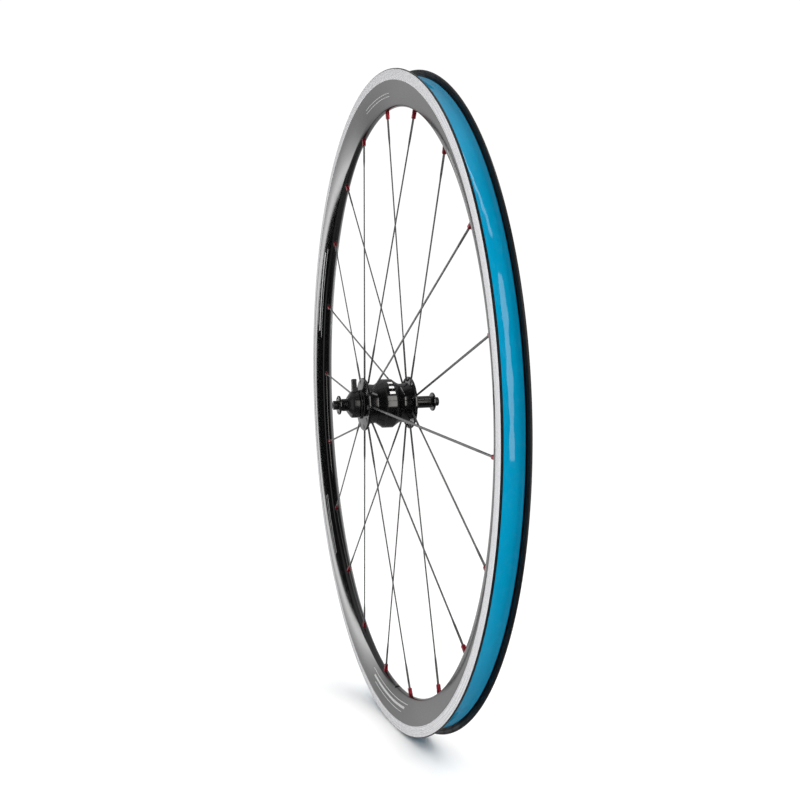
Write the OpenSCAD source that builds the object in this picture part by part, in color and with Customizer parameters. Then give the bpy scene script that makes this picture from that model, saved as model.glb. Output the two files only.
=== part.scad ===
// Front bicycle wheel without a tyre.
// A V-section rim stands on radial bladed spokes, and the hub holds a small
// generator whose connector stands up on the -Y side.
// The origin is the middle of the axle. The axle lies along Y, and +Z is up.

/* [Rim] */
// Radius over the hooks
rim_r = 317; // [315:0.5:320]
// Width over the two brake tracks
rim_w = 23.2; // [23:0.1:24]
// Depth from the hooks to the spoke bed
rim_depth = 32.4; // [31:0.2:36]
// Height of a brake track
track_h = 9.2; // [8.6:0.1:9.6]
// Radius of the rounded spoke bed
bed_round = 4.9; // [4.6:0.1:5.2]
// Thickness of the spoke bed
bed_t = 3.4; // [3.2:0.1:3.6]
// Thickness of a sidewall
rim_wall = 1.35; // [1.2:0.05:1.5]
// Diameter of the valve hole
valve_d = 6.5; // [6.2:0.1:6.8]
// Thickness of the rim tape
tape_t = 0.7; // [0.5:0.1:0.8]

/* [Spokes] */
// Number of spokes, half on each flange
spoke_count = 20; // [16:4:20]
// Diameter of the round ends of a spoke
spoke_d = 2; // [1.8:0.1:2]
// Width of a spoke's blade, in the plane of the wheel
blade_w = 2.2; // [2:0.1:2.6]
// Thickness of a spoke's blade, along the axle
blade_t = 1.2; // [0.9:0.1:1.4]
// Angle of the first spoke above +X
first_spoke = 6.5; // [0:0.5:18]
// Length of a nipple's body
nipple_l = 11; // [10:0.5:12]
// Diameter of a nipple's body
nipple_d = 4; // [3.9:0.1:4.1]

/* [Hub] */
// Radius of the two flanges
flange_r = 26.4; // [26:0.1:27]
// Distance from the middle to the inner face of a flange
flange_y = 22; // [21.6:0.1:22.4]
// Radius of the ring of spoke holes
hole_ring_r = 22.5; // [22.2:0.1:22.8]
// Radius of the barrel around the generator
barrel_r = 24.5; // [24.4:0.1:26]
// Half length of the full-diameter part of the barrel
barrel_flat = 4.6; // [4:0.1:5]
// Radius of the necks between the barrel and the flanges
neck_r = 19.7; // [19.5:0.1:20]

/* [Axle] */
// Distance over the two locknut faces
over_locknuts = 100; // [99:0.5:102]
// Diameter of the axle ends that sit in the dropouts
axle_end_d = 9; // [8.8:0.1:9]
// Length of each axle end
axle_end_l = 5; // [4:0.5:6]
// Bore for a quick-release skewer
skewer_bore_d = 5.2; // [5.1:0.1:5.4]
// Diameter of the locknut discs
locknut_d = 18.8; // [17:0.2:20]

/* [Connector] */
// Height of the connector block above the axle
block_top = 16.8; // [16:0.2:18]
// Height of the plug cap above the axle
cap_top = 25.5; // [24:0.5:30]

/* [Hidden] */
$fn = 96;
eps = 0.01;
SIDES = ["left", "right"];
SPOKE_NAMES = [for (i = [1:spoke_count]) str("spoke_", i < 10 ? "0" : "", i)];

// Rim section, as a radius and a distance from the middle plane
bed_r = rim_r - rim_depth;
chamber_r = bed_r + bed_t;
hook_round = 0.9;
bed_flat = 8;
track_low_r = rim_r - hook_round - track_h;
track_y = rim_w / 2;
side_y = track_y - 0.3;
side_rise = track_low_r - bed_r - bed_round;
side_span = norm([side_y, side_rise]);
side_angle = acos(bed_round / side_span) - atan2(side_rise, side_y);
bow_r = 83;
bow_turn = acos((side_span * side_span + bed_round * bed_round - 2 * bow_r * bed_round)
    / (2 * (bow_r - bed_round) * side_span));
bow_from = 180 + atan2(side_y, side_rise) - bow_turn;
bow_centre = [bed_r + bed_round, 0] - (bow_r - bed_round) * [cos(bow_from), sin(bow_from)];
bow_to = atan2(side_y - bow_centre[1], track_low_r - bow_centre[0]);
bow_step = (bow_to - bow_from) / 6;
floor_r = rim_r - 9.4;
bridge_t = 1.3;
hook_y = track_y - 2.3;
well_y = hook_y + 0.6;
tape_gap = 0.03;
spoke_step = 360 / spoke_count;
valve_angle = first_spoke - (round(90 / spoke_step) + 0.5) * spoke_step;
valve_r = valve_d / 2;
chamber_w = valve_r + 0.35;
chamber_top = track_low_r - 0.4;
nipple_hole_r = 2.3;
access_hole_r = 4.25;
sleeve_arc = 10;
sleeve_wall = 1.5;
sleeve_gap = 0.2;
sleeve_low = chamber_r + 3;
sleeve_high = track_low_r - 3;

// Spokes: a bend at the flange, then a straight run that leans to the middle plane
spoke_r = spoke_d / 2;
elbow_r = spoke_r + 0.1;
spoke_y = flange_y - elbow_r - 0.2;
bend_r = 1.8;
seat_r = bed_r + 1.4;
lean = atan(spoke_y / (seat_r - hole_ring_r - bend_r));
bend_x = hole_ring_r + bend_r * (1 - sin(lean));
bend_y = (seat_r - bend_x) * tan(lean);
run_l = (seat_r - bend_x) / cos(lean);
spot_face_y = flange_y + 3;
head_r = 2;
head_h = 1;
hub_butt_l = 34;
rim_butt_l = 26;
taper_l = 8;
head_lift = 2.3;
nipple_head_r = 3;
nipple_head_h = 2.4;
flat_l = 4.8;

// Hub shell
wall = 1.5;
chamfer_end = barrel_flat + 7.7;
boss_r = 14.5;
boss_y = flange_y + 7.2;
joint_y = 5.2;
lap_y = 3;
skirt_r = barrel_r - 1.3;
ring_seat_r = barrel_r - 2.5;
neck_bore_r = neck_r - 1.7;

// Bearings: twelve millimetre bore, twenty-four outside, six wide
bore_r = 6;
race_r = 12;
bearing_w = 6;
bearing_y = flange_y + 2.6;
pitch_r = 9;
ball_r = 1.55;
groove_r = 1.6;
ball_count = 11;
race_gap = 1.1;
lip_r = 11;

// Generator
pole_pairs = 13;
pole_pitch = 360 / (2 * pole_pairs);
claw_arc = 9.8;
stator_r = 18.9;
claw_t = 1.4;
plate_y = 5;
plate_t = 1.2;
plate_r = 16.8;
core_r = 8;
bobbin_r = 17;
bobbin_y = 4.9;
coil_y = 3.9;
coil_r = 16.4;
magnet_r = 19.35;
magnet_t = ring_seat_r - 1.2 - magnet_r;
magnet_arc = pole_pitch - 0.85;
magnet_y = 6;
flux_y = 6.5;
nut_r = 9.2;
nut_t = 3.5;

// Axle and its stack
stop_y = over_locknuts / 2;
tip_y = stop_y + axle_end_l;
thread_r = 5;
disc_t = 2;
neck_t = 1.5;
stack_y = stop_y - disc_t - neck_t;
race_out_y = bearing_y + bearing_w / 2;
spacer_r = 6.1;
seal_gap = 0.4;

// Connector and leads
cover_r = 13.2;
cover_y = [30, 37, 38.5, 41];
skirt_t = 1.6;
block_x = 4;
block_y = [30, 34.8];
block_low = 9;
cap_x = 3.2;
cap_y = [30.4, 34.8];
pin_y = 32.6;
pin_x = 1.5;
pin_size = [1.6, 0.6];
pin_z = [12, 23.6];
wire_r = 0.45;
wire_x = 0.6;
wire_z = 5.25;
wire_hole_r = 1.3;
wire_out_z = 9.8;
slot_low = 4.6;

// Turns an outline of [radius, y] points around the axle
module turned(points, arc = 360) {
    rotate([-90, 0, 0])
        rotate_extrude(angle = arc)
            polygon(points);
}

module ring(r_in, r_out, y0, y1) {
    turned([[r_in, y0], [r_out, y0], [r_out, y1], [r_in, y1]]);
}

// A round bar along the axle
module bar(r, y0, y1) {
    translate([0, y0, 0])
        rotate([-90, 0, 0])
            cylinder(r = r, h = y1 - y0);
}

// Children built along +X are turned up to an angle above +X
module at_angle(a) {
    rotate([0, -a, 0])
        children();
}

// The left side is built as the right side's mirror image
module on_side(side) {
    if (side == "left")
        mirror([0, 1, 0])
            children();
    else
        children();
}

function unit(v) = v / norm(v);

function across(v) = [-v[1], v[0]];

// Where the edge of a strip along a path turns a corner, on one side of it
function corner(path, k, half) =
    let (a = unit(path[k] - path[max(k - 1, 0)] + (k == 0 ? path[1] - path[0] : [0, 0])),
         b = k == len(path) - 1 ? a : unit(path[k + 1] - path[k]),
         n = unit(across(a) + across(b)))
    path[k] + n * half / (n * across(a));

function strip(path, half) = concat(
    [for (k = [0:len(path) - 1]) corner(path, k, half)],
    [for (k = [len(path) - 1:-1:0]) corner(path, k, -half)]);

function flipped(half) = [for (i = [len(half) - 1:-1:0]) [half[i][0], -half[i][1]]];

function both_sides(half) = concat(half, flipped(half));

function arc_points(c, r, from, to, steps) =
    [for (i = [0:steps]) let (a = from + (to - from) * i / steps) c + r * [cos(a), sin(a)]];

// Half outlines of the rim, from the middle plane out to +Y
outer_half = concat(
    arc_points([bed_r + bed_round, 0], bed_round, 180 - bed_flat, bow_from, 6),
    arc_points(bow_centre, bow_r, bow_from + bow_step, bow_to, 5),
    [[track_low_r + 0.3, track_y], [rim_r - hook_round, track_y]],
    arc_points([rim_r - hook_round, track_y - hook_round], hook_round, 90, 0, 5));
floor_half = [[floor_r, 0], [floor_r, 3.2], [floor_r + 0.8, 5.6], [floor_r + 2.7, 8]];
well_half = concat(
    floor_half,
    [[floor_r + 3.4, hook_y - 0.2], [floor_r + 3.7, well_y], [rim_r - 2.8, well_y]],
    arc_points([rim_r - 1.3, hook_y + 0.7], 0.7, -135, 0, 6),
    [[rim_r + 1, hook_y + 1.2]]);
function side_in(r) =
    (bed_round - rim_wall) / cos(side_angle) + (r - bed_r - bed_round) * tan(side_angle);
function chamber_y(r) = chamber_w
    + (r - chamber_r) * (side_in(chamber_top) - chamber_w) / (chamber_top - chamber_r);
function bow_y(r) = bow_centre[1] + sqrt(bow_r * bow_r - (r - bow_centre[0]) * (r - bow_centre[0]));
chamber_half = concat(
    [[chamber_r, 0], [chamber_r, chamber_w]],
    [for (k = [1:2]) let (r = chamber_r + (chamber_top - chamber_r) * k / 3)
        [r, bow_y(r) - 1.07 * rim_wall]],
    [[chamber_top, side_in(chamber_top)],
     [floor_r + 0.8, side_in(chamber_top) - 0.3], [floor_r + 1, 7.6],
     [floor_r - 0.6, 5.4], [floor_r - bridge_t, 3], [floor_r - bridge_t, 0]]);
tape_edge = [floor_r + 3.15, hook_y - 0.6];
tape_low = concat([for (p = floor_half) p + [tape_gap, 0]], [tape_edge]);
sleeve_half = [
    [sleeve_low, 0], [sleeve_low, chamber_y(sleeve_low) - sleeve_gap],
    [sleeve_high, chamber_y(sleeve_high) - sleeve_gap], [sleeve_high, 0]];
sleeve_bore = [
    [sleeve_low + sleeve_wall, 0],
    [sleeve_low + sleeve_wall, chamber_y(sleeve_low) - sleeve_gap - sleeve_wall],
    [sleeve_high - sleeve_wall, chamber_y(sleeve_high) - sleeve_gap - 2 * sleeve_wall],
    [sleeve_high - sleeve_wall, 0]];

// One light alloy extrusion with machined brake tracks on both sides
module rim() {
    color([0.08, 0.08, 0.09])
        difference() {
            rotate([-90, 0, 0])
                rotate_extrude($fn = 240)
                    difference() {
                        polygon(both_sides(outer_half));
                        polygon(both_sides(well_half));
                        polygon(both_sides(chamber_half));
                    }
            for (i = [0:spoke_count - 1])
                at_angle(first_spoke + i * spoke_step) {
                    radial_hole(nipple_hole_r, bed_r - 1, chamber_r + 2);
                    radial_hole(access_hole_r, floor_r - 4, rim_r + 1);
                }
            at_angle(valve_angle)
                radial_hole(valve_r, bed_r - 1, rim_r + 1);
        }
}

module radial_hole(r, from, to) {
    translate([from, 0, 0])
        rotate([0, 90, 0])
            cylinder(r = r, h = to - from, $fn = 32);
}

// Tape that lies on the floor of the tyre well, over the access holes
module rim_tape() {
    color([0.02, 0.5, 0.72])
        difference() {
            rotate([-90, 0, 0])
                rotate_extrude($fn = 240)
                    difference() {
                        polygon(both_sides(tape_low));
                        translate([tape_t, 0])
                            polygon(both_sides(tape_low));
                    }
            at_angle(valve_angle)
                radial_hole(valve_r + 0.35, floor_r - 1, rim_r);
        }
}

// Sleeve that joins the two ends of the extrusion, opposite the valve
module rim_sleeve() {
    color([0.7, 0.7, 0.72])
        at_angle(valve_angle + 180 + sleeve_arc / 2)
            difference() {
                turned(both_sides(sleeve_half), sleeve_arc);
                turned(both_sides(sleeve_bore), sleeve_arc);
            }
}

// A spoke in its flange's half: its bend starts on the hole ring and it runs
// out along +X, leaning towards the middle plane
module spoke_along_x() {
    translate([hole_ring_r, 0, 0]) {
        bar(head_r, spot_face_y, spot_face_y + head_h / 2);
        translate([0, spot_face_y + head_h / 2, 0])
            rotate([-90, 0, 0])
                cylinder(r1 = head_r, r2 = head_r * 0.55, h = head_h / 2);
        bar(spoke_r, bend_y + bend_r * cos(lean) - 0.2, spot_face_y + 0.2);
    }
    translate([hole_ring_r + bend_r, bend_y + bend_r * cos(lean), 0])
        rotate([0, 0, 180])
            rotate_extrude(angle = 90 - lean)
                translate([bend_r, 0])
                    circle(r = elbow_r, $fn = 24);
    spoke_run()
        spoke_sections();
}

// Children built along +X from the end of the bend follow the leaning run
module spoke_run() {
    translate([bend_x, bend_y, 0])
        rotate([0, 0, -lean])
            children();
}

module spoke_sections() {
    tip_r = blade_t / 2 - 0.15;
    blade_to = run_l - rim_butt_l;
    round_piece(spoke_r, spoke_r, -0.2, hub_butt_l);
    round_piece(spoke_r, tip_r, hub_butt_l, hub_butt_l + taper_l);
    round_piece(tip_r, spoke_r, blade_to - taper_l, blade_to);
    round_piece(spoke_r, spoke_r, blade_to, run_l);
    translate([hub_butt_l - 1, 0, 0])
        rotate([0, 90, 0])
            linear_extrude(blade_to - hub_butt_l + 2)
                blade_section();
}

// Flat with two round edges
module blade_section() {
    edge = (blade_w - blade_t) / 2;
    translate([-edge, -blade_t / 2])
        square([2 * edge, blade_t]);
    for (s = [-1, 1])
        translate([s * edge, 0])
            circle(d = blade_t, $fn = 24);
}

module round_piece(r1, r2, from, to) {
    translate([from, 0, 0])
        rotate([0, 90, 0])
            cylinder(r1 = r1, r2 = r2, h = to - from, $fn = 24);
}

function spoke_side(i) = SIDES[i % 2 == 0 ? 1 : 0];

module spoke(i) {
    color([0.12, 0.12, 0.13])
        at_angle(first_spoke + i * spoke_step)
            on_side(spoke_side(i))
                spoke_along_x();
}

// A nipple on its spoke's line: square shank, round body and a slotted head
module nipple() {
    head_at = run_l + head_lift;
    difference() {
        union() {
            round_piece(nipple_d / 2, nipple_d / 2, head_at - nipple_l, head_at);
            round_piece(nipple_d / 2, nipple_head_r, head_at, head_at + 0.7);
            round_piece(nipple_head_r, nipple_head_r - 0.4, head_at + 0.7,
                        head_at + nipple_head_h);
        }
        round_piece(spoke_r + 0.04, spoke_r + 0.04, head_at - nipple_l - 1, head_at + 3);
        for (s = [-1, 1]) {
            flat_cut(head_at, [0, s]);
            flat_cut(head_at, [s, 0]);
        }
        translate([head_at + 1.4, -0.5, -4])
            cube([2, 1, 8]);
    }
}

// One wrench flat on a nipple's shank
module flat_cut(head_at, way) {
    flat = nipple_d / 2 - 0.28;
    translate([head_at - nipple_l - 1, way[0] * (flat + 2) - 2, way[1] * (flat + 2) - 2])
        cube([flat_l + 1, 4, 4]);
}

module nipples(side) {
    color([0.65, 0.03, 0.04])
        for (i = [0:spoke_count - 1])
            if (spoke_side(i) == side)
                at_angle(first_spoke + i * spoke_step)
                    on_side(side)
                        spoke_run()
                            nipple();
}

// Flange, neck and boss of one end of the hub, in its own half
flange_outline = [
    [flange_r - 0.5, flange_y + 0.6], [flange_r, flange_y + 1.1],
    [flange_r, flange_y + 2.5], [flange_r - 0.5, flange_y + 3],
    [boss_r + 0.6, flange_y + 4.4], [boss_r, flange_y + 5],
    [boss_r, boss_y - 0.5], [boss_r - 0.5, boss_y], [race_r, boss_y],
    [race_r, flange_y - 0.4], [lip_r, flange_y - 0.4], [lip_r, flange_y - 2.5],
    [neck_bore_r, flange_y - 2.5]];
neck_outline = [[neck_r - 0.5, chamfer_end], [neck_r + 0.6, flange_y - 0.6]];

module spoke_holes(side) {
    for (i = [0:spoke_count - 1])
        if (spoke_side(i) == side)
            at_angle(first_spoke + i * spoke_step)
                translate([hole_ring_r, 0, 0]) {
                    bar(spoke_r + 0.25, flange_y - 2, flange_y + 6);
                    bar(head_r + 0.35, spot_face_y, flange_y + 6);
                }
}

// Barrel with the right flange
module hub_shell() {
    outline = concat(
        [[skirt_r, -joint_y], [barrel_r - 0.2, -joint_y], [barrel_r, -joint_y + 0.2],
         [barrel_r, barrel_flat]],
        neck_outline,
        flange_outline,
        [[neck_bore_r, chamfer_end], [ring_seat_r, flux_y], [ring_seat_r, lap_y - joint_y],
         [skirt_r, lap_y - joint_y]]);
    color([0.05, 0.05, 0.055])
        difference() {
            turned(outline);
            spoke_holes("right");
        }
}

// Left flange with a skirt that screws into the barrel
module hub_end_flange() {
    outline = concat(
        [[ring_seat_r, joint_y - lap_y], [skirt_r, joint_y - lap_y], [skirt_r, joint_y],
         [barrel_r - 0.4, joint_y]],
        neck_outline,
        flange_outline,
        [[neck_bore_r, chamfer_end], [ring_seat_r, flux_y]]);
    color([0.05, 0.05, 0.055])
        mirror([0, 1, 0])
            difference() {
                turned(outline);
                spoke_holes("left");
            }
}

module race_groove() {
    translate([0, bearing_y, 0])
        rotate([-90, 0, 0])
            rotate_extrude()
                translate([pitch_r, 0])
                    circle(r = groove_r, $fn = 32);
}

module inner_race(side) {
    color([0.75, 0.76, 0.78])
        on_side(side)
            difference() {
                ring(bore_r, pitch_r - race_gap, bearing_y - bearing_w / 2, race_out_y);
                race_groove();
            }
}

module outer_race(side) {
    color([0.75, 0.76, 0.78])
        on_side(side)
            difference() {
                ring(pitch_r + race_gap, race_r, bearing_y - bearing_w / 2, race_out_y);
                race_groove();
            }
}

module balls(side) {
    color([0.85, 0.86, 0.88])
        on_side(side)
            for (i = [0:ball_count - 1])
                at_angle(i * 360 / ball_count)
                    translate([pitch_r, bearing_y, 0])
                        sphere(r = ball_r, $fn = 32);
}

module ball_cage(side) {
    color([0.6, 0.45, 0.2])
        on_side(side)
            difference() {
                ring(pitch_r - 0.55, pitch_r + 0.55, bearing_y - 2, bearing_y + 2);
                for (i = [0:ball_count - 1])
                    at_angle(i * 360 / ball_count)
                        translate([0, bearing_y, 0])
                            radial_hole(ball_r + 0.06, pitch_r - 1, pitch_r + 1);
            }
}

module dust_seal(side) {
    color([0.02, 0.02, 0.02])
        on_side(side)
            ring(spacer_r + seal_gap, race_r, boss_y - 1.3, boss_y - 0.3);
}

// A cup whose wall is cut into claws, which reach across the coil between
// those of the other plate
module claw_plate(side) {
    cup = [
        [bore_r, plate_y], [stator_r - claw_t, plate_y], [stator_r - claw_t, 0.6 - plate_y],
        [stator_r, 0.6 - plate_y], [stator_r, plate_y + plate_t],
        [bore_r, plate_y + plate_t]];
    between = [
        [plate_r, -plate_y], [stator_r + 1, -plate_y],
        [stator_r + 1, plate_y + plate_t + 1], [plate_r, plate_y + plate_t + 1]];
    phase = side == "left" ? 0 : pole_pitch;
    color([0.45, 0.46, 0.48])
        on_side(side)
            difference() {
                turned(cup);
                for (k = [0:pole_pairs - 1])
                    at_angle(phase + 2 * k * pole_pitch - claw_arc / 2)
                        turned(between, 2 * pole_pitch - claw_arc);
                if (side == "left")
                    translate([0, 0, wire_out_z])
                        bar(wire_hole_r, plate_y - 1, plate_y + plate_t + 1);
            }
}

module stator_core() {
    color([0.45, 0.46, 0.48])
        ring(bore_r, core_r, -plate_y, plate_y);
}

module coil_bobbin() {
    color([0.85, 0.84, 0.78])
        difference() {
            turned(both_sides([
                [core_r + 1, 0], [core_r + 1, coil_y], [bobbin_r, coil_y],
                [bobbin_r, bobbin_y], [core_r, bobbin_y], [core_r, 0]]));
            translate([0, 0, wire_out_z])
                bar(wire_hole_r, -bobbin_y - 1, -coil_y);
        }
}

module coil_winding() {
    color([0.72, 0.38, 0.14])
        ring(core_r + 1, coil_r, -coil_y, coil_y);
}

// Hexagon nut that clamps the two claw plates on the axle
module stator_nut() {
    color([0.7, 0.7, 0.72])
        difference() {
            translate([0, plate_y + plate_t, 0])
                rotate([-90, 0, 0])
                    cylinder(r = nut_r, h = nut_t, $fn = 6);
            bar(bore_r, plate_y, plate_y + plate_t + nut_t + 1);
        }
}

// Bonded in a ring, one magnet for each pole
module magnets() {
    color([0.32, 0.32, 0.34])
        for (k = [0:2 * pole_pairs - 1])
            at_angle(k * pole_pitch)
                turned([[magnet_r, -magnet_y], [magnet_r + magnet_t, -magnet_y],
                        [magnet_r + magnet_t, magnet_y], [magnet_r, magnet_y]], magnet_arc);
}

module flux_ring() {
    color([0.5, 0.5, 0.52])
        ring(magnet_r + magnet_t, ring_seat_r, -flux_y, flux_y);
}

// Hollow axle with bearing seats, a collar and a groove for the leads
module axle() {
    half_bore = skewer_bore_d / 2;
    outline = [
        [half_bore, -tip_y], [axle_end_d / 2 - 0.4, -tip_y], [axle_end_d / 2, -tip_y + 0.4],
        [axle_end_d / 2, -stop_y], [thread_r, -stop_y], [thread_r, -race_out_y - 2],
        [bore_r, -race_out_y - 2], [bore_r, -12], [core_r, -12],
        [core_r, -plate_y - plate_t], [bore_r, -plate_y - plate_t],
        [bore_r, race_out_y + 2], [thread_r, race_out_y + 2], [thread_r, stop_y],
        [axle_end_d / 2, stop_y], [axle_end_d / 2, tip_y - 0.4],
        [axle_end_d / 2 - 0.4, tip_y], [half_bore, tip_y]];
    color([0.12, 0.12, 0.13])
        difference() {
            turned(outline);
            lead_slot(-pin_y - 0.8, -plate_y - plate_t);
        }
}

module lead_slot(y0, y1) {
    translate([-wire_hole_r, y0, slot_low])
        cube([2 * wire_hole_r, y1 - y0, wire_out_z - slot_low + wire_r]);
}

module locknut(side) {
    disc_r = locknut_d / 2;
    color([0.07, 0.07, 0.075])
        on_side(side)
            turned([
                [thread_r, stack_y], [thread_r + 0.5, stack_y],
                [thread_r + 0.7, stop_y - disc_t], [disc_r - 0.3, stop_y - disc_t],
                [disc_r, stop_y - disc_t + 0.3], [disc_r, stop_y - 0.3],
                [disc_r - 0.3, stop_y], [thread_r, stop_y]]);
}

// Tube between a bearing and its locknut, stepped where the axle gets thicker
module spacer_tube() {
    turned([
        [bore_r, race_out_y], [spacer_r + 0.2, race_out_y],
        [spacer_r, race_out_y + 0.2], [spacer_r, stack_y - 0.7],
        [spacer_r - 0.6, stack_y], [thread_r, stack_y],
        [thread_r, race_out_y + 2], [bore_r, race_out_y + 2]]);
}

module left_spacer() {
    color([0.07, 0.07, 0.075])
        difference() {
            mirror([0, 1, 0])
                spacer_tube();
            lead_slot(-pin_y - 0.8, -race_out_y + 1);
        }
}

module right_spacer() {
    color([0.07, 0.07, 0.075])
        spacer_tube();
}

// Cap that shields the leads and carries the connector
module connector_cover() {
    color([0.06, 0.06, 0.065])
        difference() {
            mirror([0, 1, 0])
                turned([
                    [cover_r - skirt_t, cover_y[0]], [cover_r - 0.4, cover_y[0]],
                    [cover_r, cover_y[0] + 0.4], [cover_r, cover_y[1] - 0.6],
                    [cover_r - 0.7, cover_y[1]], [spacer_r + 0.8, cover_y[3]],
                    [spacer_r, cover_y[3]], [spacer_r, cover_y[2]],
                    [cover_r - 5, cover_y[2]], [cover_r - skirt_t, cover_y[1] - 0.8]]);
            translate([-block_x - 0.05, -block_y[1] - 0.05, 2])
                cube([2 * block_x + 0.1, block_y[1] - block_y[0] + 0.1, cover_r]);
        }
}

// An upright bar with rounded corners
module upright(half_x, y, z0, z1, corner) {
    translate([0, 0, z0])
        linear_extrude(z1 - z0) {
            translate([-half_x + corner, -y[1]])
                square([2 * (half_x - corner), y[1] - y[0]]);
            translate([-half_x, -y[1] + corner])
                square([2 * half_x, y[1] - y[0] - 2 * corner]);
            for (sx = [-1, 1], yy = [-y[1] + corner, -y[0] - corner])
                translate([sx * (half_x - corner), yy])
                    circle(r = corner, $fn = 24);
        }
}

module pin_pair(play, z0, z1) {
    for (s = [-1, 1])
        translate([s * pin_x - pin_size[0] / 2 - play, -pin_y - pin_size[1] / 2 - play, z0])
            cube([pin_size[0] + 2 * play, pin_size[1] + 2 * play, z1 - z0]);
}

module connector_housing() {
    color([0.04, 0.04, 0.045])
        difference() {
            upright(block_x, block_y, block_low, block_top, 0.8);
            translate([0, -pin_y, block_low - 1])
                cylinder(r = wire_hole_r, h = pin_z[0] - block_low + 1, $fn = 32);
            pin_pair(0.05, pin_z[0] - eps, block_top + 1);
        }
}

module connector_cap() {
    color([0.04, 0.04, 0.045])
        difference() {
            upright(cap_x, cap_y, block_top, cap_top, 0.6);
            pin_pair(0.05, block_top - 1, pin_z[1] + 0.3);
        }
}

module terminal_pins() {
    color([0.78, 0.6, 0.25])
        pin_pair(0, pin_z[0], pin_z[1]);
}

// Two flat leads from the coil along the axle groove and up to the terminals
module coil_leads() {
    route = [
        [-coil_y, wire_out_z], [-plate_y - plate_t - 0.6, wire_out_z],
        [-13, wire_z], [-pin_y, wire_z], [-pin_y, pin_z[0]]];
    color([0.6, 0.1, 0.08])
        for (s = [-1, 1])
            translate([s * wire_x - wire_r, 0, 0])
                rotate([90, 0, 90])
                    linear_extrude(2 * wire_r)
                        polygon(strip(route, wire_r));
}

axle();
locknut("left");  // left_locknut
locknut("right");  // right_locknut
left_spacer();
right_spacer();
connector_cover();
connector_housing();
connector_cap();
terminal_pins();
coil_leads();
inner_race("left");  // left_inner_race
inner_race("right");  // right_inner_race
claw_plate("left");  // left_claw_plate
claw_plate("right");  // right_claw_plate
stator_core();
coil_bobbin();
coil_winding();
stator_nut();
rim();
rim_tape();
rim_sleeve();
nipples("left");  // left_nipples
nipples("right");  // right_nipples
hub_shell();
hub_end_flange();
magnets();
flux_ring();
outer_race("left");  // left_outer_race
outer_race("right");  // right_outer_race
dust_seal("left");  // left_dust_seal
dust_seal("right");  // right_dust_seal
ball_cage("left");  // left_ball_cage
balls("left");  // left_balls
ball_cage("right");  // right_ball_cage
balls("right");  // right_balls
for (i = [0:spoke_count - 1])
    spoke(i);
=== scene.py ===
import math

import bmesh
import bpy
from mathutils import Matrix, Vector


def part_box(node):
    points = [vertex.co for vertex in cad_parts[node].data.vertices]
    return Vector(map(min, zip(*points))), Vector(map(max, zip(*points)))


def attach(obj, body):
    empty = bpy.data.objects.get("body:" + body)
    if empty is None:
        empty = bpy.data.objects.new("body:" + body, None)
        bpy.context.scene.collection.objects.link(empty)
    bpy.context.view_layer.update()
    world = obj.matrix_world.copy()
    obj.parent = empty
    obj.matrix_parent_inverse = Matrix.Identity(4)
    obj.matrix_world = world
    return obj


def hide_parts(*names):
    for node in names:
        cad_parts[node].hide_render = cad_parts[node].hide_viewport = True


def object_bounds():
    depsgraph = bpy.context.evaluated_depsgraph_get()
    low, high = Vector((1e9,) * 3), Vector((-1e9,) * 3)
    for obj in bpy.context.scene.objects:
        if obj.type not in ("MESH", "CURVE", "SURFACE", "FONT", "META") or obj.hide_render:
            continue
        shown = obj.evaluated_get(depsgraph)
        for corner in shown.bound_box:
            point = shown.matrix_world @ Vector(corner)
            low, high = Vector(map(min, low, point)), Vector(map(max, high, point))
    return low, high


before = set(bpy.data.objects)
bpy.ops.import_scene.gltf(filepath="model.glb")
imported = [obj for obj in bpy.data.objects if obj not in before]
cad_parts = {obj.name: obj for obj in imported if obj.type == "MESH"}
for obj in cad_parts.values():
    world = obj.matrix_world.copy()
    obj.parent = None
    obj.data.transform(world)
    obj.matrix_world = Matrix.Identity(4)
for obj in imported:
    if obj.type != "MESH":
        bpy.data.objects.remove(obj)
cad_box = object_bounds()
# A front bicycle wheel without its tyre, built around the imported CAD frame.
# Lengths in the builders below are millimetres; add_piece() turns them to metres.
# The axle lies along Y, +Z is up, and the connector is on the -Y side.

MM = 0.001
TURN = 2 * math.pi


def span(node):
    """A CAD node's lowest and highest corners, in millimetres."""
    low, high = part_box(node)
    return low / MM, high / MM


RIM_HIGH = span("rim")[1]
RIM_R = RIM_HIGH.x
TRACK_Y = RIM_HIGH.y            # outer face of the brake track
BED_R = RIM_R - 32.4            # the rim's innermost line
BED_ROUND = 4.9                 # radius of the rounded spoke bed
BOW_R = 83                      # radius of the side's shallow bow
LOW_R = RIM_R - 10.1            # lower edge of the brake track
FOOT_Y = TRACK_Y - 0.3          # where the bow ends below it
WELL_R = RIM_R - 9.4            # floor of the tyre well

HUB_HIGH = span("hub_shell")[1]
FLANGE_R = HUB_HIGH.x
BOSS_Y = HUB_HIGH.y             # end of the boss outside the flange
FLANGE_Y = BOSS_Y - 7.2         # inner face of the flange
FLANGE_OUT_Y = FLANGE_Y + 3     # its outer face, where the spoke heads sit
BARREL_R = 24.5
NECK_R, NECK_Y = 18.0, 12.3     # bore inside the neck, and where the neck is thinnest
TIP_Y = span("axle")[1].y
STOP_Y = TIP_Y - 5              # clamping faces of the locknuts

SPOKES = sorted(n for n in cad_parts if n.startswith("spoke_"))
SPOKE_STEP = 360 / len(SPOKES)  # degrees
FIRST_SPOKE = 6.5               # degrees from +X towards +Z, a spoke of the right flange
VALVE_ANGLE = FIRST_SPOKE - 5.5 * SPOKE_STEP
RIM_STEPS = 720                 # facets round the rim and the tape
VALVE_AT = round((VALVE_ANGLE - FIRST_SPOKE) / 360 * RIM_STEPS) % RIM_STEPS

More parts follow.
